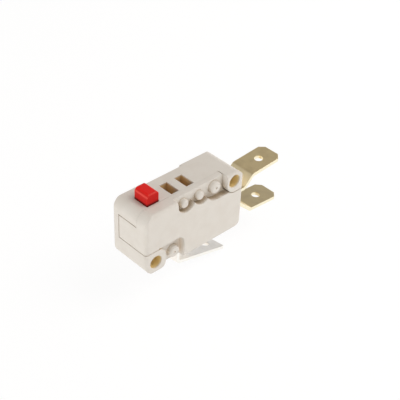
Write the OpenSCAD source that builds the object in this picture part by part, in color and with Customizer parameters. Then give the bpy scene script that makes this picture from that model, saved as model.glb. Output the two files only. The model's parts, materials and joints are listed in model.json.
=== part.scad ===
// Snap-action micro switch with a push button, two mounting holes and three flat blade terminals.
// Millimetres. The origin is on the axis of the lower mounting hole, half way through the body's depth.
// +X runs from the button end to the terminal end, +Y from the cover to the back, +Z towards the button.
// The pieces are drawn with the button released.

/* [Mounting holes] */
// Distance between the two mounting holes along the body
hole_pitch_x = 22.2; // [21:0.1:25]
// Distance between the two mounting holes across the body
hole_pitch_z = 10.3; // [9.8:0.1:12]
// Diameter of the mounting holes
hole_d = 3.1; // [2.6:0.1:3.2]

/* [Body] */
// From each mounting hole's axis to the nearer end face
end_margin = 2.8; // [2.6:0.1:3.4]
// From the lower mounting hole's axis to the bottom face
bottom_margin = 2.8; // [2.6:0.1:3.4]
// From the upper mounting hole's axis to the top face
top_margin = 2.1; // [2.1:0.1:3]
// Depth of the body with its cover
body_d = 10.3; // [10.1:0.1:12]
// Wall of the housing
wall = 1.2; // [1:0.05:1.3]
// Radius of the outline's corners, the lower boss apart
corner_r = 2.5; // [2:0.1:2.6]
// Radius of the front face's edges at its ends and its top
front_edge_r = 0.8; // [0.4:0.1:1]
// Radius of the two upright edges at the back
back_edge_r = 0.2; // [0.1:0.05:0.6]
// Radius of the other long edges at the top and the bottom
long_edge_r = 0.5; // [0.2:0.05:0.5]
// Reach of the lower boss from its hole's axis, up and towards the terminals
boss_reach = 2.8; // [2.6:0.1:2.9]
// Radius of the lower boss's inner corner
boss_corner_r = 2.2; // [1.5:0.1:2.4]
// Radius of the lower boss's foot towards the terminals
boss_foot_r = 1.8; // [1:0.1:1.8]
// Reach of the upper boss from its hole's axis towards the button
upper_boss_reach = 2.1; // [2:0.1:2.3]
// Reach of the upper boss below its hole's axis
upper_boss_drop = 2.8; // [2.6:0.05:3.2]
// Length of the shallow step in the top edge of the back face
step_l = 10; // [8:0.5:12]
// Depth of that step
step_d = 0.7; // [0.4:0.1:0.9]
// Height of that step
step_h = 2.6; // [2:0.1:3.2]
// From the end face at the terminals to that step
step_from_end = 9.7; // [8:0.1:11]

/* [Cover] */
// Thickness of the cover
cover_t = 3; // [2.6:0.05:3.3]
// Depth of the recesses around the fixing pins
recess_depth = 1.6; // [1.2:0.1:1.7]
// Radius of the scallops around the small pins
small_scallop_r = 2.4; // [2.3:0.05:2.5]
// Radius of the scallop around the upper large pin
large_scallop_r = 3.35; // [3.2:0.05:3.5]
// From the upper pins' axes up to the middle of their scallops
scallop_rise = 0.8; // [0.7:0.05:0.9]
// Height of the lower recess above the bottom face
lower_recess_h = 5.9; // [5.4:0.1:6.2]
// From the lower pin's axis to the side of the lower recess
lower_recess_side = 2.15; // [1.9:0.05:2.3]
// Radius of the lower recess's upper corner
lower_recess_r = 1.8; // [1:0.1:2]
// Radius of the small relief in the cover above the lower boss
relief_r = 0.4; // [0.2:0.05:0.5]
// From the lower boss's side back to that relief
relief_from_side = 1.7; // [1.4:0.1:2]
// Depth of the hollow behind the cover's front wall
hollow_depth = 1.2; // [1.1:0.1:1.4]
// Height of the cover's tongue on the end face
tongue_h = 5.8; // [4.5:0.1:6.5]
// From the back face to the end of the tongue
tongue_from_back = 1.7; // [1.4:0.1:2.5]

/* [Fixing pins] */
// Radius of the two small pins
small_pin_r = 1; // [0.9:0.05:1.2]
// Radius of the two large pins
large_pin_r = 1.4; // [1.2:0.05:1.6]
// From the front face back to the pins' heads
pin_setback = 0.5; // [0.3:0.1:1]
// From the top face down to the upper large pin's edge
upper_pin_edge = 0.5; // [0.3:0.05:0.6]
// From the upper boss to the upper large pin's edge
boss_to_pin = 1.4; // [1:0.05:1.6]
// From the upper large pin's axis to the second small pin's axis
pin_pitch_large = 4.45; // [4:0.05:4.8]
// From the second small pin's axis to the first small pin's axis
pin_pitch_small = 4.4; // [3.8:0.05:4.8]
// From the bottom face up to the lower pin's edge
lower_pin_edge = 0.7; // [0.4:0.05:0.8]
// From the common leg to the lower pin's edge
leg_to_pin = 0.55; // [0.3:0.05:0.7]
// Radius of the dimple in the large pins' heads
dimple_r = 0.25; // [0.15:0.05:0.4]
// Depth of that dimple
dimple_depth = 0.25; // [0.1:0.05:0.4]
// Chamfer of the pins' heads
pin_chamfer = 0.3; // [0.1:0.05:0.4]

/* [Button] */
// From the lower mounting hole to the button's axis, along the body
button_x = 1.9; // [1.7:0.05:2.1]
// Wall between the cover and the button's opening
button_front_wall = 0.2; // [0.15:0.05:0.6]
// Length of the button along the body
button_l = 3.2; // [3:0.1:3.6]
// Width of the button across the depth
button_w = 4.05; // [3.4:0.05:4.3]
// Height of the released button above the top face
button_h = 2.7; // [2.4:0.1:3]
// Bevel of the button's top edges at its two ends along the body
button_end_bevel = 0.6; // [0.2:0.05:0.7]
// Bevel of the button's top edges at its front and back
button_side_bevel = 0.15; // [0.05:0.05:0.4]
// Travel of the button
button_travel = 1.5; // [1.1:0.05:1.7]
// Reach of the button's shoulder past the button at each end
shoulder_reach = 0.7; // [0.5:0.05:0.8]
// Thickness of the shoulder
shoulder_t = 1; // [0.8:0.1:1.2]
// Width across the depth of the stem under the shoulder
stem_w = 3; // [2.4:0.1:3.4]
// Radius of the stem's rounded nose
nose_r = 0.6; // [0.5:0.05:0.7]

/* [Slots in the top] */
// Length of the slots along the body
slot_l = 2.1; // [1.8:0.1:2.3]
// Width of the slots across the depth
slot_w = 3.9; // [3.4:0.1:4]
// Depth of the slots
slot_depth = 2.6; // [2:0.1:2.8]
// Floor under the slots
slot_floor = 1; // [0.8:0.05:1.2]
// Wall between the first slot and the button's chamber
slot_wall = 0.8; // [0.6:0.05:1]
// From the lower mounting hole to the first slot's middle
slot_1_x = 8; // [7.8:0.1:8.4]
// From the lower mounting hole to the second slot's middle
slot_2_x = 12.2; // [11.6:0.1:12.6]

/* [Terminals] */
// Width of the blades
tab_w = 6.3; // [6:0.1:6.4]
// Thickness of the blades
tab_t = 0.8; // [0.7:0.05:0.85]
// Inner radius of the bends
bend_r = 0.5; // [0.3:0.05:0.7]
// From the end face to the tips of the two blades beside it
tab_reach = 14.5; // [13:0.1:16]
// Upward or downward flare of those two blades
tab_flare = 4; // [0:0.5:6]
// Chamfer of the blades' tip corners
tip_chamfer = 1.2; // [0.8:0.1:1.4]
// Chamfer of the common blade's tip corners
com_tip_chamfer = 0.3; // [0.2:0.05:1.2]
// Diameter of the hole in each blade
tab_hole_d = 2; // [1.5:0.1:2.1]
// From the tips of the two blades to their holes
tab_hole_back = 4.3; // [3.8:0.1:4.6]
// From the end face to the upper blade's joggle
nc_joggle_start = 2.8; // [1.5:0.1:3]
// Length of the upper blade's joggle
nc_joggle_run = 2.5; // [1.8:0.1:3]
// Rise of the upper blade's joggle
nc_joggle_rise = 2.5; // [1.5:0.05:2.8]
// From the end face to the lower blade's joggle
no_joggle_start = 1.2; // [1:0.1:2]
// Length of the lower blade's joggle
no_joggle_run = 4.1; // [3.5:0.1:4.5]
// Drop of the lower blade's joggle
no_joggle_drop = 3.7; // [2.5:0.1:4]
// From the bottom face down to the common blade's bend
com_drop = 3.1; // [2.5:0.1:4]
// Length of the common blade beyond its leg
com_reach = 14.3; // [12:0.1:16]
// Downward slope of the common blade
com_slope = 13.5; // [5:0.5:18]
// Lean of the common blade towards the back
com_skew = 8.5; // [0:0.5:10]
// From the common blade's tip to its hole
com_hole_back = 3.4; // [3:0.1:4.4]
// Height of the common leg above the blade's pivot
com_leg_top = 1; // [0.8:0.1:1.4]

/* [Contacts] */
// Height midway between the fixed contacts above the lower mounting hole
contact_z = 2.9; // [2.8:0.05:3]
// From the contact blade's pivot to the contacts, along the body
contact_arm = 10; // [9.6:0.05:10.4]
// From the contacts' heads to the inner ends of their terminals
terminal_margin = 0.2; // [0.1:0.05:0.4]
// Clear height between the two fixed terminals inside
terminal_gap = 2.6; // [2.5:0.05:2.8]
// Radius of the contact heads
contact_r = 1; // [0.8:0.05:1.1]
// Height of the fixed contacts' heads
fixed_head_h = 0.5; // [0.4:0.05:0.55]
// Height of the moving contact
moving_contact_h = 0.9; // [0.8:0.05:1]
// Radius of the contacts' shanks
shank_r = 0.5; // [0.4:0.05:0.6]
// Height of the closing heads on the fixed contacts
closing_head_h = 0.3; // [0.2:0.05:0.4]

/* [Snap mechanism] */
// Height of the lever's pivot and the contact blade's pivot above the lower mounting hole
pivot_z = 4.2; // [4.1:0.05:4.4]
// Radius of the lever's pivot post
post_r = 0.5; // [0.4:0.05:0.55]
// From the cover to the free end of the pivot post
post_setback = 0.3; // [0.2:0.05:0.5]
// Radius of the lever's barrel
barrel_r = 0.9; // [0.8:0.02:1]
// Width of the lever
lever_w = 3.6; // [3:0.1:3.7]
// Thickness of the lever's arm
lever_t = 0.7; // [0.6:0.05:0.8]
// From the lever's pivot to its spring pin
lever_reach = 5.6; // [5.3:0.05:5.8]
// Radius of the lever's spring pin
spring_pin_r = 0.35; // [0.3:0.05:0.4]
// Width of the lever's fork around the spring hook
lever_fork_w = 1; // [0.9:0.05:1.4]
// From the lower mounting hole to the common leg's face that carries the contact blade
leg_face_x = 8.5; // [8.4:0.05:8.6]
// Width of the contact blade
blade_w = 4.2; // [3.8:0.1:4.3]
// Thickness of the contact blade
blade_t = 0.25; // [0.2:0.01:0.3]
// Depth of the groove in the common leg that the contact blade pivots in
groove_depth = 0.25; // [0.2:0.01:0.35]
// Height of that groove at the leg's face
groove_h = 0.6; // [0.5:0.05:0.8]
// Depth to which the contact blade sits in the groove
blade_seat = 0.1; // [0.05:0.01:0.12]
// Width of the contact blade's fork around the spring
blade_fork_w = 2.4; // [2.3:0.05:2.6]
// From the contact blade's pivot to the bar that the spring hooks on
spring_bar_x = 6.2; // [5.8:0.05:6.4]
// Width of that bar
spring_bar_w = 0.8; // [0.6:0.05:0.9]
// Wire of the spring
wire_d = 0.32; // [0.25:0.01:0.36]
// Mean radius of the spring's turns
coil_r = 0.75; // [0.65:0.05:0.8]
// Number of the spring's turns
coil_turns = 11; // [8:1:14]
// Inner radius of the hook on the lever's pin
lever_hook_r = 0.7; // [0.66:0.02:0.8]
// Inner radius of the hook on the blade's bar
blade_hook_r = 0.6; // [0.56:0.02:0.64]

/* [Clearances] */
// Visible seam between the cover's edges and the housing
seam = 0.15; // [0.05:0.01:0.2]
// Gap on each side of the button in its opening
guide_gap = 0.06; // [0.04:0.01:0.1]
// Gap around each fixing pin, rivet shank and terminal
fit_gap = 0.03; // [0.02:0.01:0.05]
// Radial gap of the lever on its post
pivot_gap = 0.05; // [0.03:0.01:0.08]
// Gap between the button's nose and the lever
nose_gap = 0.05; // [0.03:0.01:0.08]
// Gap between the closed contacts
contact_gap = 0.06; // [0.05:0.01:0.1]
// Gap between the lever's barrel and the end wall
barrel_gap = 0.1; // [0.08:0.01:0.2]
// Play of the spring's hook on the lever's pin
hook_play = 0.1; // [0.08:0.01:0.15]
// Room around the spring's hooks and turns
spring_room = 0.2; // [0.15:0.01:0.3]

/* [Hidden] */
$fn = 64;

// Overshoot of a cutting tool past the face that it cuts
over = 0.5;
// Facets of each bend in a folded strip
bend_steps = 6;
// Points for each turn of the spring, and sides of its wire
turn_steps = 14;
wire_sides = 6;
// Angles at which the spring's two hooks begin and end
lever_hook_from = -40;
lever_hook_to = 290;
blade_hook_from = 150;
blade_hook_to = -180;

cream = [0.87, 0.85, 0.81];
pale_cream = [0.89, 0.87, 0.83];
red = [0.8, 0.14, 0.12];
brass = [0.62, 0.55, 0.38];
plated = [0.78, 0.78, 0.76];
silver = [0.85, 0.85, 0.86];
steel = [0.6, 0.6, 0.62];
bronze = [0.72, 0.5, 0.32];

// Faces of the body
x_left = -end_margin;
x_right = hole_pitch_x + end_margin;
z_bottom = -bottom_margin;
z_top = hole_pitch_z + top_margin;
y_front = -body_d / 2;
y_back = body_d / 2;
y_part = y_front + cover_t;
y_floor = y_front + recess_depth;
hole_r = hole_d / 2;

// Inside of the housing
x_in_left = x_left + wall;
x_in_right = x_right - wall;
y_in_back = y_back - wall;
z_chamber = z_top - wall;
z_ceiling = z_top - max(slot_depth + slot_floor, upper_pin_edge + 2 * large_pin_r + fit_gap);
chamber_right = slot_1_x - slot_l / 2 - slot_wall;
button_y = y_part + button_front_wall + guide_gap + button_w / 2;

// The common leg stands between these two faces
leg_back_x = leg_face_x - tab_t;
com_x = leg_face_x - tab_t / 2;
com_bend_z = z_bottom - com_drop;
leg_top = pivot_z + com_leg_top;

// Bosses and the cover's tongue
upper_boss_x = hole_pitch_x - upper_boss_reach;
upper_boss_z = hole_pitch_z - upper_boss_drop;
tongue_z = boss_reach + seam;
tongue_y = y_back - tongue_from_back;

// Fixing pins: place along the body and height
upper_pin_z = z_top - upper_pin_edge - large_pin_r;
lower_pin_z = z_bottom + lower_pin_edge + large_pin_r;
pin_3_x = upper_boss_x - boss_to_pin - large_pin_r;
pin_2_x = pin_3_x - pin_pitch_large;
pin_1_x = pin_2_x - pin_pitch_small;
lower_pin_x = leg_back_x - leg_to_pin - large_pin_r;
small_pins = [[pin_1_x, upper_pin_z], [pin_2_x, upper_pin_z]];
large_pins = [[pin_3_x, upper_pin_z], [lower_pin_x, lower_pin_z]];
pin_block_top = lower_pin_z + large_pin_r + fit_gap;

// The lever's angle follows from the button's travel: the arm swings evenly above and below level
lever_pivot_x = x_in_left + barrel_gap + barrel_r;
nose_arm = button_x - lever_pivot_x;
lever_angle = atan(button_travel / (2 * nose_arm));
nose_stack = nose_r + nose_gap + lever_t / 2;
nose_z = pivot_z + (nose_stack + nose_arm * sin(lever_angle)) / cos(lever_angle);

// Contact levels and the contact blade's swing
contact_x = leg_face_x + contact_arm;
nc_z = contact_z + terminal_gap / 2 + tab_t / 2;
no_z = contact_z - terminal_gap / 2 - tab_t / 2;
terminal_inner_x = contact_x - contact_r - terminal_margin;
half_swing = (terminal_gap - 2 * fixed_head_h - moving_contact_h) / 2 - contact_gap;
blade_angle = asin(half_swing / contact_arm);
blade_drop = pivot_z - contact_z;

// The spring runs from the lever's pin to the blade's bar, released and, in mirror image, pressed
spring_from = [lever_pivot_x + lever_reach * cos(lever_angle), lever_reach * sin(lever_angle)];
spring_to = [leg_face_x + spring_bar_x * cos(blade_angle), spring_bar_x * sin(blade_angle)];
spring_l = norm(spring_to - spring_from);
spring_slack = spring_l - (leg_face_x + spring_bar_x - lever_pivot_x - lever_reach);
hook_shift = lever_hook_r - spring_pin_r - hook_play;
spring_slope = (spring_from[1] - spring_to[1]) / (spring_to[0] - spring_from[0]);
spring_reach_down = spring_from[1] - spring_slope * (leg_back_x - spring_from[0]) + coil_r + wire_d / 2;

// Flat outline in X and Z, extruded through the depth from y0 to y1
module through_depth(y0, y1) {
    translate([0, y1, 0])
        rotate([90, 0, 0])
            linear_extrude(y1 - y0)
                children();
}

// Flat outline in Y and Z, extruded along the body from x0 to x1
module along_body(x0, x1) {
    translate([x0, 0, 0])
        rotate([90, 0, 90])
            linear_extrude(x1 - x0)
                children();
}

// Flat outline in X and Y, extruded upwards from z0 to z1
module upwards(z0, z1) {
    translate([0, 0, z0])
        linear_extrude(z1 - z0)
            children();
}

module block(from, to) {
    translate(from)
        cube(to - from);
}

module rectangle(from, to) {
    translate(from)
        square(to - from);
}

// Cuts a sharp corner to a radius; side says which way the corner points
module round_off(corner, side, r) {
    difference() {
        rectangle(
            [corner[0] - (side[0] > 0 ? r : over), corner[1] - (side[1] > 0 ? r : over)],
            [corner[0] + (side[0] > 0 ? over : r), corner[1] + (side[1] > 0 ? over : r)]
        );
        translate([corner[0] - side[0] * r, corner[1] - side[1] * r])
            circle(r);
    }
}

// Rectangle with its own radius at each corner: lower left, lower right, upper right, upper left
module rounded(from, to, radii) {
    corners = [[from[0], from[1]], [to[0], from[1]], [to[0], to[1]], [from[0], to[1]]];
    sides = [[-1, -1], [1, -1], [1, 1], [-1, 1]];
    difference() {
        rectangle(from, to);
        for (i = [0:3])
            if (radii[i] > 0)
                round_off(corners[i], sides[i], radii[i]);
    }
}

// Round bar through the depth
module depth_bar(at, r, y0, y1) {
    translate([at[0], y1, at[1]])
        rotate([90, 0, 0])
            cylinder(r = r, h = y1 - y0);
}

// Direction of travel between two points, and the unit vector to its left
function heading(a, b) = atan2(b[1] - a[1], b[0] - a[0]);
function left_of(angle) = [-sin(angle), cos(angle)];
function along(angle) = [cos(angle), sin(angle)];
function turn(a, b, c) = (heading(b, c) - heading(a, b) + 540) % 360 - 180;

// One rounded bend of a strip, at an offset to the left of its middle line
function bend(a, b, c, offset, r) =
    let (
        h = heading(a, b),
        swing = turn(a, b, c),
        side = sign(swing),
        start = b - along(h) * r * tan(abs(swing) / 2),
        centre = start + left_of(h) * side * r
    )
    [for (k = [0:bend_steps])
        centre + left_of(h + swing * k / bend_steps) * (offset - side * r)];

function strip_side(path, offset, r) =
    let (last = len(path) - 1)
    concat(
        [path[0] + left_of(heading(path[0], path[1])) * offset],
        [for (i = [1:last - 1]) each bend(path[i - 1], path[i], path[i + 1], offset, r)],
        [path[last] + left_of(heading(path[last - 1], path[last])) * offset]
    );

function reversed(points) = [for (i = [len(points) - 1:-1:0]) points[i]];

// Side view of a folded strip of even thickness
module folded_strip(path, thickness, inner_r) {
    r = inner_r + thickness / 2;
    polygon(concat(strip_side(path, thickness / 2, r), reversed(strip_side(path, -thickness / 2, r))));
}

// Outline of the whole body in X and Z
module body_outline() {
    rounded([x_left, z_bottom], [x_right, z_top], [bottom_margin, corner_r, corner_r, corner_r]);
}

// The body's outer form with its edges rounded, with the cover on
module body_form() {
    intersection() {
        through_depth(y_front, y_back)
            body_outline();
        upwards(z_bottom - over, z_top + over)
            rounded(
                [x_left, y_front], [x_right, y_back],
                [front_edge_r, front_edge_r, back_edge_r, back_edge_r]
            );
        along_body(x_left - over, x_right + over)
            rounded(
                [y_front, z_bottom], [y_back, z_top],
                [long_edge_r, long_edge_r, long_edge_r, front_edge_r]
            );
    }
}

// Outlines of the two bosses, which reach through the cover; gap widens them for the cover's cut-outs
module lower_boss_outline(gap = 0) {
    difference() {
        rounded(
            [x_left - over, z_bottom - over], [boss_reach + gap, boss_reach + gap],
            [0, 0, boss_corner_r, 0]
        );
        round_off([boss_reach + gap, z_bottom - gap], [1, -1], boss_foot_r + gap);
    }
}

// Upright on the side towards the button and round below, straight to the end face on the other side
module upper_boss_outline(gap = 0) {
    r = (x_right - upper_boss_x) / 2;
    middle = [upper_boss_x + r, upper_boss_z + r];
    translate(middle)
        circle(r + gap);
    rectangle([upper_boss_x - gap, middle[1]], [x_right + over, z_top + over]);
    rectangle([middle[0], upper_boss_z - gap], [x_right + over, z_top + over]);
}

// The hollow in the housing, before the bosses pass through it
module cavity_outline() {
    difference() {
        union() {
            rectangle([x_in_left, z_bottom + wall], [x_in_right, z_ceiling]);
            rectangle([x_in_left, pivot_z], [chamber_right, z_chamber]);
        }
        rectangle([x_left, z_bottom], [leg_back_x - fit_gap, pin_block_top]);
    }
}

// Slice of the space around the body between two depths
module body_slice(y0, y1) {
    block([x_left - over, y0, z_bottom - over], [x_right + over, y1, z_top + over]);
}

// Opening for a terminal, wider than its blade by the fitting gap
module terminal_opening(from, to) {
    margin = [fit_gap, fit_gap, fit_gap];
    block(from - margin, to + margin);
}

module terminal_openings() {
    half_w = tab_w / 2;
    half_t = tab_t / 2;
    for (z = [nc_z, no_z])
        terminal_opening([x_in_right - over, -half_w, z - half_t], [x_right + over, half_w, z + half_t]);
    terminal_opening([leg_back_x, -half_w, z_bottom - over], [leg_face_x, half_w, leg_top]);
}

// Fixing pin of the housing that passes through the cover
module fixing_pin(at, r, dimpled) {
    head = y_front + pin_setback;
    translate([at[0], head, at[1]])
        rotate([-90, 0, 0])
            difference() {
                rotate_extrude()
                    polygon([
                        [0, 0], [r - pin_chamfer, 0], [r, pin_chamfer],
                        [r, cover_t - pin_setback + over], [0, cover_t - pin_setback + over]
                    ]);
                if (dimpled)
                    translate([0, 0, -over])
                        cylinder(r = dimple_r, h = over + dimple_depth);
            }
}

module button_opening() {
    half = [button_l / 2 + guide_gap, button_w / 2 + guide_gap];
    block(
        [button_x - half[0], button_y - half[1], z_chamber - over],
        [button_x + half[0], button_y + half[1], z_top + over]
    );
}

module top_slot(x) {
    block(
        [x - slot_l / 2, button_y - slot_w / 2, z_top - slot_depth],
        [x + slot_l / 2, button_y + slot_w / 2, z_top + over]
    );
}

// Opening in the end wall for the cover's tongue
module tongue_opening() {
    block(
        [x_left - over, y_part - over, tongue_z - seam],
        [x_in_left + over, tongue_y + seam, tongue_z + tongue_h + seam]
    );
}

// Shallow step in the top edge of the back face
module back_step() {
    step_right = x_right - step_from_end;
    block([step_right - step_l, y_back - step_d, z_top - step_h], [step_right, y_back + over, z_top + over]);
}

module housing() {
    color(cream)
    difference() {
        union() {
            intersection() {
                body_form();
                union() {
                    difference() {
                        body_slice(y_part, y_back + over);
                        through_depth(y_part - over, y_in_back)
                            cavity_outline();
                    }
                    through_depth(y_front - over, y_back + over) {
                        lower_boss_outline();
                        upper_boss_outline();
                    }
                }
            }
            depth_bar([lever_pivot_x, pivot_z], post_r, y_part + post_setback, y_in_back + over);
            for (at = small_pins)
                fixing_pin(at, small_pin_r, false);
            for (at = large_pins)
                fixing_pin(at, large_pin_r, true);
        }
        for (at = [[0, 0], [hole_pitch_x, hole_pitch_z]])
            depth_bar(at, hole_r, y_front - over, y_back + over);
        button_opening();
        for (x = [slot_1_x, slot_2_x])
            top_slot(x);
        terminal_openings();
        tongue_opening();
        back_step();
    }
}

// The recess around the three upper pins, open at the top and at the upper boss
module upper_recess_outline() {
    scallop_z = upper_pin_z + scallop_rise;
    for (x = [pin_1_x, pin_2_x])
        translate([x, scallop_z])
            circle(small_scallop_r);
    translate([pin_3_x, scallop_z])
        circle(large_scallop_r);
    rectangle([pin_1_x - small_scallop_r, scallop_z], [upper_boss_x + over, z_top + over]);
    rectangle([pin_3_x, scallop_z - large_scallop_r], [hole_pitch_x, z_top + over]);
}

module lower_recess_outline() {
    rounded(
        [boss_reach - relief_from_side, z_bottom - over],
        [lower_pin_x + lower_recess_side, z_bottom + lower_recess_h],
        [0, 0, lower_recess_r, 0]
    );
}

module cover() {
    color(pale_cream)
    difference() {
        intersection() {
            body_form();
            union() {
                body_slice(y_front - over, y_part);
                block([x_left - over, y_part - over, tongue_z], [x_in_left, tongue_y, tongue_z + tongue_h]);
            }
        }
        through_depth(y_front - over, y_part + over) {
            lower_boss_outline(seam);
            upper_boss_outline(seam);
        }
        through_depth(y_front - over, y_floor) {
            upper_recess_outline();
            lower_recess_outline();
            translate([boss_reach - relief_from_side, boss_reach])
                circle(relief_r);
        }
        for (at = small_pins)
            depth_bar(at, small_pin_r + fit_gap, y_front, y_part + over);
        for (at = large_pins)
            depth_bar(at, large_pin_r + fit_gap, y_front, y_part + over);
        block(
            [leg_face_x + wall, y_part - hollow_depth, z_bottom + wall],
            [x_in_right, y_part + over, upper_boss_z - wall]
        );
        terminal_openings();
    }
}

module plunger() {
    half_l = button_l / 2 + shoulder_reach;
    half_w = button_w / 2;
    shoulder_top = z_chamber - fit_gap;
    color(red) {
        intersection() {
            through_depth(button_y - half_w, button_y + half_w)
                bevelled(button_x, button_l, button_end_bevel);
            along_body(button_x - button_l / 2, button_x + button_l / 2)
                bevelled(button_y, button_w, button_side_bevel);
        }
        block(
            [button_x - half_l, button_y - half_w, shoulder_top - shoulder_t],
            [button_x + half_l, button_y + half_w, shoulder_top]
        );
        block(
            [button_x - nose_r, button_y - stem_w / 2, nose_z],
            [button_x + nose_r, button_y + stem_w / 2, z_chamber - shoulder_t]
        );
        depth_bar([button_x, nose_z], nose_r, button_y - stem_w / 2, button_y + stem_w / 2);
    }
}

// Side view of the button above its shoulder, with bevelled top corners
module bevelled(middle, size, bevel) {
    foot = z_chamber - shoulder_t;
    top = z_top + button_h;
    half = size / 2;
    polygon([
        [middle - half, foot], [middle + half, foot],
        [middle + half, top - bevel], [middle + half - bevel, top],
        [middle - half + bevel, top], [middle - half, top - bevel]
    ]);
}

// Lever between the button and the spring, on the housing's post; its fork holds the spring's hook
module actuating_lever() {
    half_w = lever_w / 2;
    half_fork = lever_fork_w / 2;
    fork_x = lever_reach - (spring_slack - hook_shift + lever_hook_r + wire_d + spring_room);
    color(steel)
    translate([lever_pivot_x, button_y, pivot_z])
        rotate([0, -lever_angle, 0])
            difference() {
                union() {
                    depth_bar([0, 0], barrel_r, -half_w, half_w);
                    difference() {
                        union() {
                            block([0, -half_w, -lever_t / 2], [lever_reach, half_w, lever_t / 2]);
                            depth_bar([lever_reach, 0], lever_t / 2, -half_w, half_w);
                        }
                        block([fork_x, -half_fork, -lever_t], [lever_reach + lever_t, half_fork, lever_t]);
                    }
                    depth_bar([lever_reach, 0], spring_pin_r, -half_w, half_w);
                }
                depth_bar([0, 0], post_r + pivot_gap, -half_w - over, half_w + over);
            }
}

// Points of the spring's wire in its own frame: +X runs from the lever's pin to the blade's bar
function hook_points(centre, r, from, to) =
    [for (k = [0:turn_steps])
        let (angle = from + (to - from) * k / turn_steps)
        [centre + r * cos(angle), 0, r * sin(angle)]];

function coil_points(start, end) =
    let (count = coil_turns * turn_steps)
    [for (k = [0:count])
        let (angle = 360 * k / turn_steps)
        [start + (end - start) * k / count, coil_r * sin(angle), coil_r * cos(angle)]];

function unit(v) = v / norm(v);
function tangent(points, i) = unit(points[min(i + 1, len(points) - 1)] - points[max(i - 1, 0)]);

// Carries a direction along the wire so that its sides don't twist
function carried(points, i) =
    i == 0
        ? unit(cross(tangent(points, 0), [0, 1, 0]))
        : let (before = carried(points, i - 1), t = tangent(points, i))
            unit(before - t * (before * t));

function wire_ring(points, i) =
    let (t = tangent(points, i), u = carried(points, i), v = cross(t, u))
    [for (k = [0:wire_sides - 1])
        points[i] + (u * cos(360 * k / wire_sides) + v * sin(360 * k / wire_sides)) * wire_d / 2];

module wire(points) {
    count = len(points);
    rings = [for (i = [0:count - 1]) each wire_ring(points, i)];
    sides = [for (i = [0:count - 2], k = [0:wire_sides - 1])
        let (a = i * wire_sides + k, b = i * wire_sides + (k + 1) % wire_sides)
        [a, a + wire_sides, b + wire_sides, b]];
    ends = [
        [for (k = [0:wire_sides - 1]) k],
        [for (k = [wire_sides - 1:-1:0]) (count - 1) * wire_sides + k]
    ];
    polyhedron(rings, concat(sides, ends), convexity = 10);
}

module tension_spring() {
    lever_ring_r = lever_hook_r + wire_d / 2;
    blade_ring_r = blade_hook_r + wire_d / 2;
    coil_start = hook_shift + lever_ring_r + wire_d;
    coil_end = spring_l - blade_ring_r - wire_d;
    color(bronze)
    translate([spring_from[0], button_y, pivot_z + spring_from[1]])
        rotate([0, atan(spring_slope), 0])
            wire(concat(
                hook_points(hook_shift, lever_ring_r, lever_hook_from, lever_hook_to),
                coil_points(coil_start, coil_end),
                hook_points(spring_l, blade_ring_r, blade_hook_from, blade_hook_to)
            ));
}

// Forked leaf that carries the moving contact and pivots in the common leg's groove
module contact_blade() {
    fork_half = blade_fork_w / 2;
    fork_end = spring_bar_x - spring_bar_w / 2;
    window_start = spring_bar_x + spring_bar_w / 2;
    window_end = spring_bar_x + blade_hook_r + wire_d + spring_room;
    window_half = wire_d / 2 + spring_room;
    step_end = contact_arm - contact_r - blade_t;
    color(bronze)
    translate([leg_face_x, button_y, pivot_z])
        rotate([0, -blade_angle, 0])
            difference() {
                through_depth(-blade_w / 2, blade_w / 2)
                    folded_strip(
                        [
                            [-blade_seat, 0], [window_end + spring_room, 0],
                            [step_end, -blade_drop], [contact_arm + contact_r + blade_t, -blade_drop]
                        ],
                        blade_t, blade_t
                    );
                block([-over, -fork_half, -over], [fork_end, fork_half, over]);
                block([window_start, -window_half, -over], [window_end, window_half, over]);
                translate([contact_arm, 0, -blade_drop - over])
                    cylinder(r = shank_r + fit_gap, h = 2 * over);
            }
}

module moving_contact() {
    head_h = (moving_contact_h - blade_t) / 2;
    color(silver)
    translate([leg_face_x, button_y, pivot_z])
        rotate([0, -blade_angle, 0])
            translate([contact_arm, 0, -blade_drop]) {
                translate([0, 0, -moving_contact_h / 2])
                    cylinder(r = shank_r, h = moving_contact_h);
                for (z = [-moving_contact_h / 2, blade_t / 2])
                    translate([0, 0, z])
                        cylinder(r = contact_r, h = head_h);
            }
}

// Blade terminal: a folded strip with chamfered tip corners and a round hole
module blade_terminal(path) {
    last = len(path) - 1;
    tip = path[last];
    flat = heading(path[last - 1], tip);
    hole_at = tip - along(flat) * tab_hole_back;
    half_w = tab_w / 2;
    difference() {
        through_depth(-half_w, half_w)
            folded_strip(path, tab_t, bend_r);
        for (side = [-1, 1])
            upwards(tip[1] - tab_t, tip[1] + tab_t)
                polygon([
                    [tip[0] - tip_chamfer, side * (half_w + over)], [tip[0] - tip_chamfer, side * half_w],
                    [tip[0], side * (half_w - tip_chamfer)], [tip[0] + over, side * (half_w - tip_chamfer)],
                    [tip[0] + over, side * (half_w + over)]
                ]);
        translate([hole_at[0], 0, hole_at[1]])
            rotate([0, -flat, 0])
                translate([0, 0, -tab_t])
                    cylinder(d = tab_hole_d, h = 2 * tab_t);
    }
}

module shank_hole(z) {
    translate([contact_x, button_y, z - tab_t])
        cylinder(r = shank_r + fit_gap, h = 2 * tab_t);
}

module normally_closed_terminal() {
    rise_start = x_right + nc_joggle_start;
    rise_end = rise_start + nc_joggle_run;
    flat_z = nc_z + nc_joggle_rise;
    tip_x = x_right + tab_reach;
    color(brass)
    difference() {
        blade_terminal([
            [terminal_inner_x, nc_z], [rise_start, nc_z], [rise_end, flat_z],
            [tip_x, flat_z + (tip_x - rise_end) * tan(tab_flare)]
        ]);
        shank_hole(nc_z);
    }
}

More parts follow.
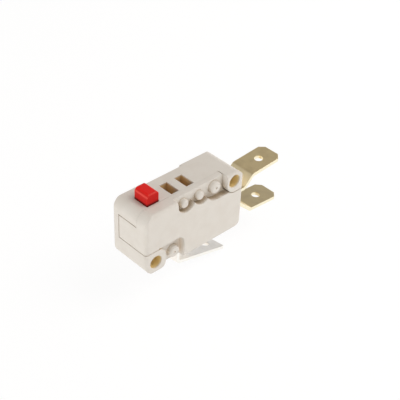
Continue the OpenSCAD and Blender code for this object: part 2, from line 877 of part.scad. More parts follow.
module normally_open_terminal() {
    drop_start = x_right + no_joggle_start;
    drop_end = drop_start + no_joggle_run;
    flat_z = no_z - no_joggle_drop;
    tip_x = x_right + tab_reach;
    color(brass)
    difference() {
        blade_terminal([
            [terminal_inner_x, no_z], [drop_start, no_z], [drop_end, flat_z],
            [tip_x, flat_z - (tip_x - drop_end) * tan(tab_flare)]
        ]);
        shank_hole(no_z);
    }
}

// Frame of the common strip, turned about the front end of its bend so that the blade leans back
module leaning() {
    translate([0, -tab_w / 2, com_bend_z])
        rotate([-com_skew, 0, 0])
            children();
}

// The common strip seen from above, with chamfered tip corners
module common_plan() {
    half_w = tab_w / 2;
    tip_x = com_x + com_reach;
    polygon([
        [leg_back_x - over, -half_w], [tip_x - com_tip_chamfer, -half_w], [tip_x, com_tip_chamfer - half_w],
        [tip_x, half_w - com_tip_chamfer], [tip_x - com_tip_chamfer, half_w], [leg_back_x - over, half_w]
    ]);
}

// The common strip is folded longer and wider than it is and cut to its plan; its leg has a notch for the
// spring and a groove for the contact blade
module common_terminal() {
    spare = tab_w;
    run = com_reach + spare;
    hole_run = com_reach - com_hole_back * cos(com_slope);
    hole_drop = hole_run * tan(com_slope);
    hole_y = (tab_w / 2 + hole_drop * sin(com_skew)) / cos(com_skew);
    groove_slope = groove_h / 2 / groove_depth;
    color(plated)
    difference() {
        intersection() {
            leaning()
                through_depth(-spare, tab_w + spare)
                    folded_strip(
                        [
                            [com_x, leg_top - com_bend_z + spare], [com_x, 0],
                            [com_x + run, -run * tan(com_slope)]
                        ],
                        tab_t, bend_r
                    );
            upwards(com_bend_z - run, leg_top)
                common_plan();
        }
        leaning()
            translate([com_x + hole_run, hole_y, -hole_drop])
                rotate([0, com_slope, 0])
                    translate([0, 0, -tab_t])
                        cylinder(d = tab_hole_d, h = 2 * tab_t);
        block(
            [leg_back_x - over, button_y - blade_fork_w / 2, pivot_z - spring_reach_down - spring_room],
            [leg_face_x + over, button_y + blade_fork_w / 2, leg_top + over]
        );
        through_depth(-tab_w / 2 - over, tab_w / 2 + over)
            polygon([
                [leg_face_x - groove_depth, pivot_z],
                [leg_face_x + over, pivot_z - groove_slope * (groove_depth + over)],
                [leg_face_x + over, pivot_z + groove_slope * (groove_depth + over)]
            ]);
    }
}

// Riveted contact: head towards the moving contact, shank through the terminal, closing head behind it
module fixed_contact(z, facing) {
    translate([contact_x, button_y, z])
        mirror([0, 0, facing > 0 ? 0 : 1]) {
            translate([0, 0, tab_t / 2])
                cylinder(r = contact_r, h = fixed_head_h);
            translate([0, 0, -tab_t / 2 - closing_head_h])
                cylinder(r = shank_r, h = tab_t + closing_head_h + fixed_head_h);
            translate([0, 0, -tab_t / 2 - closing_head_h])
                cylinder(r = (contact_r + shank_r) / 2, h = closing_head_h);
        }
}

module normally_closed_contact() {
    color(silver)
        fixed_contact(nc_z, -1);
}

module normally_open_contact() {
    color(silver)
        fixed_contact(no_z, 1);
}

housing();
cover();
plunger();
actuating_lever();
tension_spring();
contact_blade();
moving_contact();
common_terminal();
normally_closed_terminal();
normally_closed_contact();
normally_open_terminal();
normally_open_contact();
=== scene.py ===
"""Looks of a snap-action micro switch: case, push button, blade terminals and the mechanism inside."""
import json
import logging
import math
from collections.abc import Callable
from dataclasses import dataclass
from enum import Enum
from typing import Any, Union

import bmesh
import bpy
import numpy as np
from mathutils import Matrix, Vector


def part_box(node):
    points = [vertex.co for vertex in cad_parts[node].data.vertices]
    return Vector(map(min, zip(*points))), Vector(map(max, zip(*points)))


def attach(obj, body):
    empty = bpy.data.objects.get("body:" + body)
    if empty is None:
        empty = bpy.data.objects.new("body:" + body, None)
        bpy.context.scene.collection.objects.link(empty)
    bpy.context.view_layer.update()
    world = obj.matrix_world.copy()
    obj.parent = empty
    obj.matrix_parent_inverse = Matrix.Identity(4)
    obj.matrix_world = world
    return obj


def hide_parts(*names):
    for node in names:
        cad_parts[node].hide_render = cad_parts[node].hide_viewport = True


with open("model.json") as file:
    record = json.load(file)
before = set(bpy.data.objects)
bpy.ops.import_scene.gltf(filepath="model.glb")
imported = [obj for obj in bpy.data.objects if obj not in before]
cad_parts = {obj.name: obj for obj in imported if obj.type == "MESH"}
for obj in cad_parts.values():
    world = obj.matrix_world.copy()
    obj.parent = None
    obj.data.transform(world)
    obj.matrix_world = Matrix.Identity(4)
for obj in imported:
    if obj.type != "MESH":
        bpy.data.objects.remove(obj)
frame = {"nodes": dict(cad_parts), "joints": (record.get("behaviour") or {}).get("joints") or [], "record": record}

MM = 0.001
WHITE = (1.0, 1.0, 1.0)
PLASTIC_IOR = 1.5
log = logging.getLogger("micro_switch")

Colour = tuple[float, float, float]
Point = tuple[float, float, float]
Span = tuple[float, float]
EdgeRule = Callable[[np.ndarray, np.ndarray], np.ndarray]


class Body(Enum):
    """The CAD bodies that pieces ride on."""

    CASE = "case"
    BUTTON = "button"
    LEVER = "lever"
    BLADE = "blade"
    SPRING = "spring"


class Slot(Enum):
    """The record's material slots."""

    HOUSING = "housing_plastic"
    COVER = "cover_plastic"
    BUTTON = "button_plastic"
    LEVER = "lever_steel"
    SPRING = "spring_bronze"
    CONTACT = "contact_silver"
    PLATED = "plated_metal"
    BRASS = "terminal_brass"


class Field:
    """A number at every point of a surface, kept in a shader socket, for use in Python arithmetic."""

    def __init__(self, graph: "Graph", socket: bpy.types.NodeSocket) -> None:
        """Keeps the socket.

        Args:
            graph: the material that the socket belongs to.
            socket: the output that holds the number.
        """
        self.graph = graph
        self.socket = socket

    def _math(self, operation: str, *terms: "Term") -> "Field":
        """Adds one Math node.

        Args:
            operation: the Math node's operation.
            terms: its inputs in order.

        Returns:
            The result.
        """
        made = self.graph.node("ShaderNodeMath", {"operation": operation}, dict(enumerate(terms)))
        return Field(self.graph, made.outputs[0])

    def __add__(self, other: "Term") -> "Field":
        """Sum."""
        return self._math("ADD", self, other)

    __radd__ = __add__

    def __sub__(self, other: "Term") -> "Field":
        """Difference."""
        return self._math("SUBTRACT", self, other)

    def __rsub__(self, other: "Term") -> "Field":
        """Difference with this as the second term."""
        return self._math("SUBTRACT", other, self)

    def __mul__(self, other: "Term") -> "Field":
        """Product."""
        return self._math("MULTIPLY", self, other)

    __rmul__ = __mul__

    def __pow__(self, other: "Term") -> "Field":
        """Power."""
        return self._math("POWER", self, other)

    def __abs__(self) -> "Field":
        """Size without sign."""
        return self._math("ABSOLUTE", self)

    def larger(self, other: "Term") -> "Field":
        """The larger of the two."""
        return self._math("MAXIMUM", self, other)

    def swing(self, width: float) -> "Field":
        """For a number between 0 and 1: a change about zero, from minus to plus half the width."""
        return width * (self - 0.5)

    def rise(self, low: float, high: float) -> "Field":
        """Smooth step from 0 at low to 1 at high.

        Args:
            low: where it is 0.
            high: where it is 1.

        Returns:
            The stepped number.
        """
        made = self.graph.node(
            "ShaderNodeMapRange", {"interpolation_type": "SMOOTHSTEP"},
            {"Value": self, "From Min": low, "From Max": high},
        )
        return Field(self.graph, made.outputs["Result"])

    def fall(self, low: float, high: float) -> "Field":
        """Smooth step from 1 at low to 0 at high."""
        return 1 - self.rise(low, high)


Term = Union[Field, float]


class Graph:
    """A shader node tree."""

    def __init__(self, tree: bpy.types.NodeTree) -> None:
        """Empties the tree.

        Args:
            tree: the node tree of a material or a world.
        """
        self.tree = tree
        tree.nodes.clear()

    def fill(self, node: bpy.types.Node, sockets: dict[Any, Any]) -> None:
        """Sets a node's inputs.

        Args:
            node: the node.
            sockets: values or links by the input's name or index.
        """
        for name, value in sockets.items():
            if isinstance(value, Field):
                value = value.socket
            if isinstance(value, bpy.types.NodeSocket):
                self.tree.links.new(value, node.inputs[name])
            else:
                node.inputs[name].default_value = value

    def node(
        self, kind: str, settings: dict[str, Any] | None = None, sockets: dict[Any, Any] | None = None
    ) -> bpy.types.Node:
        """Adds a node.

        Args:
            kind: the node's type.
            settings: its own settings, set before its sockets.
            sockets: values or links by the input's name or index.

        Returns:
            The new node.
        """
        made = self.tree.nodes.new(kind)
        for name, value in (settings or {}).items():
            setattr(made, name, value)
        self.fill(made, sockets or {})
        return made

    def split(self, vector: bpy.types.NodeSocket) -> tuple[Field, Field, Field]:
        """The three numbers of a vector."""
        made = self.node("ShaderNodeSeparateXYZ", {}, {0: vector})
        return tuple(Field(self, made.outputs[axis]) for axis in "XYZ")

    def mix(self, share: Term, under: Any, over: Any) -> bpy.types.NodeSocket:
        """One colour laid over another.

        Args:
            share: 0 shows under, 1 shows over.
            under: a colour or a colour socket.
            over: a colour or a colour socket.

        Returns:
            The mixed colour.
        """
        under, over = (c if isinstance(c, bpy.types.NodeSocket) else (*c, 1.0) for c in (under, over))
        made = self.node("ShaderNodeMix", {"data_type": "RGBA"}, {0: share, 6: under, 7: over})
        return made.outputs[2]

    def seen(self) -> Field:
        """Tells what is looked at from what only lights.

        Returns:
            1 for rays from the camera and rays off or through a gloss, 0 for light that falls on things.
        """
        ray = self.node("ShaderNodeLightPath")
        kinds = ("Is Camera Ray", "Is Glossy Ray", "Is Transmission Ray")
        camera, gloss, through = (Field(self, ray.outputs[kind]) for kind in kinds)
        return camera.larger(gloss).larger(through)


class Surface(Graph):
    """The node tree of one material, with a Principled surface that its finish fills in."""

    layer_share: float = 0.55

    def __init__(self, name: str) -> None:
        """Starts an empty material.

        Args:
            name: the material's name.
        """
        self.material = bpy.data.materials.new(name)
        self.material.use_nodes = True
        super().__init__(self.material.node_tree)
        self.surface = self.node("ShaderNodeBsdfPrincipled")
        self.output = self.node("ShaderNodeOutputMaterial", {}, {"Surface": self.surface.outputs["BSDF"]})
        here = self.node("ShaderNodeTexCoord")
        scaled = {0: here.outputs["Object"], "Scale": 1 / MM}
        self.place = self.node("ShaderNodeVectorMath", {"operation": "SCALE"}, scaled).outputs[0]
        self.facing = here.outputs["Normal"]

    def noise(self, per_mm: Point | float, detail: float = 3.0) -> Field:
        """Fractal noise between 0 and 1.

        Args:
            per_mm: waves for each millimetre, the same all ways or along X, Y and Z.
            detail: number of finer layers.

        Returns:
            The noise.
        """
        scale = per_mm if isinstance(per_mm, tuple) else (per_mm,) * 3
        spot = self.node("ShaderNodeMapping", {}, {"Vector": self.place, "Scale": scale})
        made = self.node(
            "ShaderNodeTexNoise", {},
            {"Vector": spot.outputs[0], "Scale": 1.0, "Detail": detail, "Roughness": self.layer_share},
        )
        return Field(self, made.outputs[0])

    def mean_facing(self, round_mm: float, samples: int) -> bpy.types.NodeSocket:
        """The surface's mean direction within a small distance.

        Args:
            round_mm: the distance.
            samples: number of samples.

        Returns:
            The direction.
        """
        return self.node("ShaderNodeBevel", {"samples": samples}, {"Radius": round_mm * MM}).outputs[0]

    def bump(self, height: Field, depth_mm: float, round_mm: float = 0.0) -> bpy.types.NodeSocket:
        """Fine relief.

        Args:
            height: relief between 0 and 1.
            depth_mm: its depth.
            round_mm: radius to which the relief softens the edges under it.

        Returns:
            The bumped normal.
        """
        sockets = {"Strength": 1.0, "Distance": depth_mm * MM, "Height": height}
        if round_mm > 0:
            sockets["Normal"] = self.mean_facing(round_mm, samples=6)
        return self.node("ShaderNodeBump", {}, sockets).outputs[0]

    def edges(self, round_mm: float) -> Field:
        """How far the surface turns within a small distance: 0 on flats, more on edges.

        Args:
            round_mm: the distance.

        Returns:
            One less the product of the surface's own direction and its mean direction nearby.
        """
        own = self.node("ShaderNodeNewGeometry").outputs["Normal"]
        both = {0: self.mean_facing(round_mm, samples=8), 1: own}
        made = self.node("ShaderNodeVectorMath", {"operation": "DOT_PRODUCT"}, both)
        return 1 - Field(self, made.outputs["Value"])

    def crevice(self, reach_mm: float) -> Field:
        """Share of the surroundings that nearby walls hide: 0 in the open, near 1 deep in a gap.

        Args:
            reach_mm: how far walls count.

        Returns:
            The share.
        """
        settings = {"samples": 8, "only_local": False}
        made = self.node("ShaderNodeAmbientOcclusion", settings, {"Distance": reach_mm * MM})
        return 1 - Field(self, made.outputs["AO"])

    def finish(
        self, colour: Any, rough: Term, normal: bpy.types.NodeSocket | None, constants: dict[str, Any]
    ) -> bpy.types.Material:
        """Fills in the surface.

        Args:
            colour: base colour, or its socket.
            rough: roughness.
            normal: bumped normal, if there is one.
            constants: other sockets that are the same all over.

        Returns:
            The finished material.
        """
        sockets = {"Base Color": colour, "Roughness": rough, **constants}
        if normal is not None:
            sockets["Normal"] = normal
        self.fill(self.surface, sockets)
        return self.material


@dataclass(frozen=True)
class CaseFinish:
    """Cream moulding compound with a fine spark-eroded grain. Places are in millimetres.

    It carries painted shade in a tan tone in corners and gaps, painted bounce light in gold in the mounting
    holes and painted shade in brown in the slots. Each hole is given by its X, its Z and its radius, and a
    span says where a smooth step begins and ends.
    """

    name: str
    # how strongly the painted ledge shade and the painted lower-recess bounce light show
    painted_recess_light_and_shade: float
    round_mm: float
    holes: tuple[Point, ...]
    half_depth: float
    top: float
    cream: Colour = (0.715, 0.68, 0.625)
    shade: Colour = (0.69, 0.65, 0.592)
    cloud_per_mm: float = 0.35
    cloud_span: Span = (0.35, 0.7)
    grain_per_mm: float = 9.0
    grain_mm: float = 0.004
    # painted shade tone for corners and gaps
    painted_crevice_shade: Colour = (0.67, 0.57, 0.44)
    gap_reach_mm: float = 2.0
    gap_span: Span = (0.24, 0.66)
    gap_share: float = 0.7
    # painted bounce light tone for the cover's lower recess
    painted_bounce_light: Colour = (0.93, 0.8, 0.66)
    bounce_x: Span = (2.5, 3.5)
    bounce_z: Span = (2.5, 5.0)
    # painted shade tone for the upward ledges
    painted_ledge_shade: Colour = (0.4, 0.31, 0.21)
    ledge_shade_span: Span = (0.12, 0.42)
    ledge_shade_share: float = 0.95
    ledge_up: Span = (0.2, 0.6)
    ledge_x: Span = (19.6, 20.8)
    ledge_y: Span = (-3.55, -3.25)
    rim_blur: Span = (0.02, 0.1)
    # painted bounce light tone for the hole walls
    painted_hole_bounce: Colour = (0.86, 0.68, 0.33)
    hole_depth: Span = (0.05, 0.6)
    # painted shade tones for the slot walls, brown deep in and grey towards the front
    painted_slot_shade: Colour = (0.64, 0.44, 0.22)
    painted_slot_shade_grey: Colour = (0.45, 0.385, 0.31)
    slots: tuple[float, ...] = (8.0, 12.2)
    slot_y: float = 0.135
    slot_half: Span = (1.05, 1.95)
    slot_depth: Span = (0.05, 0.5)
    slot_floor: Span = (6.0, 8.0)
    grey_shade_end: float = 0.5
    rough: float = 0.46
    rough_cloud: float = 0.1
    rough_grain: float = 0.08
    gloss: float = 0.4

    def gaps(self, g: Surface, colour: Any) -> bpy.types.NodeSocket:
        """Painted shade in a tan tone in corners and gaps, painted bounce light in the cover's lower recess, and
        painted shade on its upward ledges.

        Args:
            g: the material.
            colour: the colour so far.

        Returns:
            The colour with the gaps laid over it.
        """
        x, y, z = g.split(g.place)
        _, _, up = g.split(g.facing)
        # painted shade: a tan tone where nearby walls hide the surroundings, in corners and gaps
        hidden = g.crevice(self.gap_reach_mm)
        # painted bounce light: a paler tone takes the tan's place in the cover's lower recess
        low_recess = self.painted_recess_light_and_shade * x.rise(*self.bounce_x) * z.fall(*self.bounce_z)
        tone = g.mix(low_recess, self.painted_crevice_shade, self.painted_bounce_light)
        colour = g.mix(self.gap_share * hidden.rise(*self.gap_span), colour, tone)
        # painted shade: a dark tone on the upward ledges of the front recess, strongest where walls hide them
        ledge = up.rise(*self.ledge_up) * y.fall(*self.ledge_y) * x.fall(*self.ledge_x)
        ledge_shade = self.ledge_shade_share * self.painted_recess_light_and_shade * ledge * hidden.rise(*self.ledge_shade_span)
        return g.mix(ledge_shade, colour, self.painted_ledge_shade)

    def bores(self, g: Surface, colour: Any) -> bpy.types.NodeSocket:
        """Painted bounce light: gold on the walls of the mounting holes, from just below the rim.

        Args:
            g: the material.
            colour: the colour so far.

        Returns:
            The colour with the holes laid over it.
        """
        x, y, z = g.split(g.place)
        deep = (self.half_depth - abs(y)).rise(*self.hole_depth)
        # painted bounce light: gold on the hole walls
        for hole_x, hole_z, radius in self.holes:
            away = ((x - hole_x) ** 2 + (z - hole_z) ** 2) ** 0.5
            colour = g.mix((away - radius).fall(*self.rim_blur) * deep, colour, self.painted_hole_bounce)
        return colour

    def windows(self, g: Surface, colour: Any) -> bpy.types.NodeSocket:
        """Painted shade on the walls of the two slots: brown, greyer towards the front.

        Args:
            g: the material.
            colour: the colour so far.

        Returns:
            The colour with the slots laid over it.
        """
        x, y, z = g.split(g.place)
        half_x, half_y = self.slot_half
        behind, below = y - self.slot_y, self.top - z
        # painted shade: brown on the slot walls, greyer towards the front
        wall = g.mix(behind.fall(-half_y, self.grey_shade_end), self.painted_slot_shade, self.painted_slot_shade_grey)
        across = (abs(behind) - half_y).fall(*self.rim_blur)
        deep = below.rise(*self.slot_depth) * below.fall(*self.slot_floor)
        for slot_x in self.slots:
            along = (abs(x - slot_x) - half_x).fall(*self.rim_blur)
            colour = g.mix(along * across * deep, colour, wall)
        return colour

    def make(self) -> bpy.types.Material:
        """Builds the material.

        Returns:
            The material.
        """
        g = Surface(self.name)
        cloud = g.noise(self.cloud_per_mm, detail=4.0)
        grain = g.noise(self.grain_per_mm, detail=2.0)
        colour = g.mix(cloud.rise(*self.cloud_span), self.cream, self.shade)
        for layer in (self.gaps, self.bores, self.windows):
            colour = layer(g, colour)
        rough = self.rough + cloud.swing(self.rough_cloud) + grain.swing(self.rough_grain)
        normal = g.bump(grain, self.grain_mm, self.round_mm)
        return g.finish(colour, rough, normal, {"IOR": PLASTIC_IOR, "Specular IOR Level": self.gloss})


@dataclass(frozen=True)
class ButtonFinish:
    """Red moulding compound, smoother than the case, with painted light on its top, painted highlights on its
    edges and painted shade at its foot.

    Heights are in millimetres, those of the painted top light from the button's top and the others from its
    foot, where it leaves the case.
    """

    name: str
    top: float
    foot: float
    middle: float
    half: float = 1.6
    bevel: float = 0.6
    red: Colour = (0.55, 0.009, 0.006)
    cloud_per_mm: float = 0.9
    grain_per_mm: float = 12.0
    grain_mm: float = 0.003
    # painted light tone for the top
    painted_top_light: Colour = (0.78, 0.016, 0.012)
    top_light_z: Span = (-0.5, -0.1)
    top_light_share: float = 0.8
    top_light_swing: float = 0.4
    # painted highlight tone for the edges
    painted_edge_highlight: Colour = (0.85, 0.085, 0.065)
    edge_highlight_share: float = 0.8
    rim_x: Span = (-0.3, -0.1)
    rim_z: Span = (0.05, 0.35)
    edge_mm: float = 0.3
    edge_span: Span = (0.003, 0.035)
    edge_z: Span = (0.4, 1.4)
    # painted shade tone for the foot
    painted_foot_shade: Colour = (0.14, 0.004, 0.003)
    foot_shade_from: Span = (-0.6, -0.2)
    foot_shade_to: Span = (0.1, 0.7)
    rough: float = 0.42
    rough_cloud: float = 0.12
    rough_grain: float = 0.06
    gloss: float = 0.15

    def make(self) -> bpy.types.Material:
        """Builds the material.

        Returns:
            The material.
        """
        g = Surface(self.name)
        x, _, z = g.split(g.place)
        from_top, from_foot = z - self.top, z - self.foot
        cloud = g.noise(self.cloud_per_mm)
        grain = g.noise(self.grain_per_mm, detail=2.0)
        # painted light: the top is lighter, with a random swing
        painted_top_light = from_top.rise(*self.top_light_z) * (self.top_light_share + cloud.swing(self.top_light_swing))
        colour = g.mix(painted_top_light, self.red, self.painted_top_light)
        # painted highlight: a paler red on the end bevels and on rounded edges above the foot
        end = (abs(x - self.middle) - self.half).rise(*self.rim_x)
        rim = abs(from_top + self.bevel).fall(*self.rim_z) * end
        edge = rim.larger(g.edges(self.edge_mm).rise(*self.edge_span) * from_foot.rise(*self.edge_z))
        colour = g.mix(self.edge_highlight_share * edge, colour, self.painted_edge_highlight)
        # painted shade: dark red where the button enters the case
        painted_foot_shade = from_foot.rise(*self.foot_shade_from) * from_foot.fall(*self.foot_shade_to)
        colour = g.mix(painted_foot_shade, colour, self.painted_foot_shade)
        rough = self.rough + cloud.swing(self.rough_cloud) + grain.swing(self.rough_grain)
        normal = g.bump(grain, self.grain_mm)
        return g.finish(colour, rough, normal, {"IOR": PLASTIC_IOR, "Specular IOR Level": self.gloss})


@dataclass(frozen=True)
class RolledMetal:
    """Rolled strip: fine streaks along the rolling direction and faint stains on its flats.

    Its sheared faces are brighter, partly as fresh-cut metal and partly as a painted highlight. Faces turned
    along X, at its bends and ends, carry a painted reflection, and where a span along X is given, the same
    painted light covers the strip up to its start and fades out by its end, in millimetres.
    """

    name: str
    face: Colour
    stain: Colour
    # tone of sheared faces: fresh-cut metal with a painted highlight
    edge: Colour
    # painted reflection and painted light tone
    painted_shine: Colour
    rough: float = 0.34
    # X span of the painted light, if given
    painted_light_x: Span | None = None
    streaks_per_mm: Point = (0.12, 7.0, 7.0)
    streak_mm: float = 0.0015
    cloud_per_mm: float = 0.45
    stain_span: Span = (0.4, 0.75)
    shine_span: Span = (0.35, 0.65)
    shear_span: Span = (0.5, 0.9)
    rough_streak: float = 0.16
    rough_cloud: float = 0.1
    shear_polish: float = 0.06

    def make(self) -> bpy.types.Material:
        """Builds the material.

        Returns:
            The material.
        """
        g = Surface(self.name)
        ahead, side, _ = g.split(g.facing)
        streak = g.noise(self.streaks_per_mm)
        cloud = g.noise(self.cloud_per_mm)
        # sheared faces: brighter as fresh-cut metal and as a painted highlight, and a little smoother
        shear_and_highlight = abs(side).rise(*self.shear_span)
        # painted reflection: a brighter tone on faces turned along X, at bends and ends
        shine_share = abs(ahead).rise(*self.shine_span)
        # painted light: where an X span is given, the same tone covers the strip up to it
        if self.painted_light_x is not None:
            x, _, _ = g.split(g.place)
            shine_share = shine_share.larger(x.fall(*self.painted_light_x))
        colour = g.mix(cloud.rise(*self.stain_span), self.face, self.stain)
        colour = g.mix(shine_share, colour, self.painted_shine)
        colour = g.mix(shear_and_highlight, colour, self.edge)
        rough = self.rough + streak.swing(self.rough_streak) + cloud.swing(self.rough_cloud)
        rough = rough - self.shear_polish * shear_and_highlight
        return g.finish(colour, rough, g.bump(streak, self.streak_mm), {"Metallic": 1.0})


@dataclass(frozen=True)
class DrawnMetal:
    """Drawn wire or a headed rivet: an even bright metal with light handling marks."""

    name: str
    bright: Colour
    dull: Colour
    rough: float = 0.28
    cloud_per_mm: float = 2.5
    cloud_span: Span = (0.35, 0.7)
    fine_per_mm: float = 14.0
    fine_mm: float = 0.001
    rough_cloud: float = 0.16
    rough_fine: float = 0.06

    def make(self) -> bpy.types.Material:
        """Builds the material.

        Returns:
            The material.
        """
        g = Surface(self.name)
        cloud = g.noise(self.cloud_per_mm, detail=4.0)
        fine = g.noise(self.fine_per_mm, detail=2.0)
        colour = g.mix(cloud.rise(*self.cloud_span), self.bright, self.dull)
        rough = self.rough + cloud.swing(self.rough_cloud) + fine.swing(self.rough_fine)
        return g.finish(colour, rough, g.bump(fine, self.fine_mm), {"Metallic": 1.0})


def add_object(name: str, data: bpy.types.ID) -> bpy.types.Object:
    """Puts a mesh, a lamp or a camera into the scene.

    Args:
        name: the object's name.
        data: what it shows.

    Returns:
        The object.
    """
    made = bpy.data.objects.new(name, data)
    bpy.context.scene.collection.objects.link(made)
    return made


def corners(mesh: bpy.types.Mesh) -> np.ndarray:
    """The places of a mesh's vertices.

    Args:
        mesh: the mesh.

    Returns:
        One row for each vertex, in metres.
    """
    where = np.empty(3 * len(mesh.vertices), np.float32)
    mesh.vertices.foreach_get("co", where)
    return where.reshape(-1, 3)


def dress(piece: bpy.types.Object, body: Body, slot: Slot, finish: bpy.types.Material, *nodes: str) -> None:
    """Puts a finish on a piece, lets it ride and hides the CAD nodes that it stands for.

    Args:
        piece: the piece.
        body: the body that it rides on.
        slot: the record's slot; not used.
        finish: its material.
        nodes: the CAD nodes that it stands for.
    """
    piece.data.materials.clear()
    piece.data.materials.append(finish)
    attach(piece, body.value)
    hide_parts(*nodes)
    log.info("%s: %d faces on body %s", piece.name, len(piece.data.polygons), body.value)


@dataclass(frozen=True)
class SoftEdges:
    """Copies a CAD node and rounds its sharp edges, as a mould or a stamping tool leaves them."""

    radius_mm: float
    segments: int = 2
    merge_mm: float = 0.0005
    flat_deg: float = 0.5
    sharp_deg: float = 32.0

    def copy(self, node: str, name: str, weigh: EdgeRule | None = None) -> bpy.types.Object:
        """Makes a piece from a node's mesh.

        The loose triangles are merged and flat areas joined. Each edge that folds by more than sharp_deg
        gets a share of the radius, and weigh may lower that share by the edge's two ends.

        Args:
            node: the CAD node.
            name: the piece's name.
            weigh: gives each edge's share of the radius from the places of its ends, in millimetres.

        Returns:
            The piece.
        """
        mesh = bpy.data.meshes.new(name)
        bm = bmesh.new()
        bm.from_mesh(frame["nodes"][node].data)
        bmesh.ops.remove_doubles(bm, verts=bm.verts, dist=self.merge_mm * MM)
        flat = math.radians(self.flat_deg)
        bmesh.ops.dissolve_limit(bm, angle_limit=flat, verts=bm.verts, edges=bm.edges)
        fold = np.array([edge.calc_face_angle(0.0) for edge in bm.edges])
        bm.to_mesh(mesh)
        bm.free()
        mesh.shade_smooth()
        self.mark(mesh, np.abs(fold) > math.radians(self.sharp_deg), weigh)
        piece = add_object(name, mesh)
        bevel = piece.modifiers.new("soft_edges", "BEVEL")
        bevel.limit_method = "WEIGHT"
        bevel.width = self.radius_mm * MM
        bevel.segments = self.segments
        bevel.use_clamp_overlap = False
        bevel.loop_slide = False
        bevel.harden_normals = True
        even = piece.modifiers.new("flat_faces", "WEIGHTED_NORMAL")
        even.mode = "FACE_AREA"
        even.keep_sharp = True
        self.settle(piece, *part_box(node))
        return piece

    def mark(self, mesh: bpy.types.Mesh, folded: np.ndarray, weigh: EdgeRule | None) -> None:
        """Writes each edge's share of the radius into the mesh. A folded edge without a share stays sharp.

        Args:
            mesh: the mesh.
            folded: for each edge, whether it is to be rounded.
            weigh: gives each edge's share of the radius from the places of its ends, in millimetres.
        """
        ends = np.empty(2 * len(mesh.edges), np.int32)
        mesh.edges.foreach_get("vertices", ends)
        where = corners(mesh)[ends.reshape(-1, 2)] / MM
        share = folded.astype(np.float32)
        if weigh is not None:
            share *= weigh(where[:, 0], where[:, 1]).astype(np.float32)
        weights = mesh.attributes.new("bevel_weight_edge", "FLOAT", "EDGE")
        weights.data.foreach_set("value", share)
        sharp = mesh.attributes.new("sharp_edge", "BOOLEAN", "EDGE")
        sharp.data.foreach_set("value", folded & (share == 0))

    def settle(self, piece: bpy.types.Object, low: Vector, high: Vector) -> None:
        """Works the modifiers into the mesh and holds every corner patch inside the CAD node's box.

        Args:
            piece: the piece.
            low: the box's lower corner.
            high: its upper corner.
        """
        view = bpy.context.evaluated_depsgraph_get()
        shown = piece.evaluated_get(view)
        mesh = bpy.data.meshes.new_from_object(shown, preserve_all_data_layers=True, depsgraph=view)
        mesh.vertices.foreach_set("co", np.clip(corners(mesh), low, high).ravel())
        mesh.update()
        piece.modifiers.clear()
        piece.data = mesh
        mesh.name = piece.name


@dataclass
class Case:
    """The two mouldings of the case."""

    edge_mm: float = 0.1
    part_y: float = -2.15
    plane_gap: float = 0.01
    housing_round_mm: float = 0.14
    cover_round_mm: float = 0.28

    def off_parting(self, start: np.ndarray, end: np.ndarray) -> np.ndarray:
        """Share 0 for edges in the plane where the two mouldings meet, so that no groove opens there.

        Args:
            start: places of the edges' first ends.
            end: places of their second ends.

        Returns:
            The shares.
        """
        away = np.abs(np.stack([start[:, 1], end[:, 1]]) - self.part_y)
        return (away.max(axis=0) >= self.plane_gap).astype(float)

    def cream(self, name: str, painted_recess_light_and_shade: float, round_mm: float) -> bpy.types.Material:
        """A moulding's finish, with the mounting holes and the faces where the frame has them.

        Args:
            name: the material's name.
            painted_recess_light_and_shade: how strongly the painted shade on its ledges and the painted bounce
                light in its lower recess show, from 0 to 1.
            round_mm: radius to which its edges look softened.

        Returns:
            The material.
        """
        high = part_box("housing")[1] / MM
        bores = [mount for mount in frame["record"]["mounts"] if mount["kind"] == "bore"]
        holes = tuple((b["pos_m"][0] / MM, b["pos_m"][2] / MM, b["dims"]["r_mm"]) for b in bores)
        return CaseFinish(name, painted_recess_light_and_shade, round_mm, holes, half_depth=high.y, top=high.z).make()

    def build(self) -> None:
        """Makes and dresses the housing and its cover."""
        edges = SoftEdges(self.edge_mm)
        housing = edges.copy("housing", "housing_moulding", self.off_parting)
        # the housing gets none of the painted ledge shade and lower-recess bounce light; the cover gets all of it
        cream = self.cream("housing_cream", 0.0, self.housing_round_mm)
        dress(housing, Body.CASE, Slot.HOUSING, cream, "housing")
        cover = edges.copy("cover", "cover_moulding", self.off_parting)
        cream = self.cream("cover_cream", 1.0, self.cover_round_mm)
        dress(cover, Body.CASE, Slot.COVER, cream, "cover")


@dataclass
class Button:
    """The push button."""

    edge_mm: float = 0.2
    segments: int = 3

    def build(self) -> None:
        """Makes and dresses the button."""
        piece = SoftEdges(self.edge_mm, self.segments).copy("plunger", "push_button")
        low, high = (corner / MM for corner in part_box("plunger"))
        case_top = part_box("housing")[1].z / MM
        red = ButtonFinish("button_red", high.z, case_top, (low.x + high.x) / 2)
        dress(piece, Body.BUTTON, Slot.BUTTON, red.make(), "plunger")


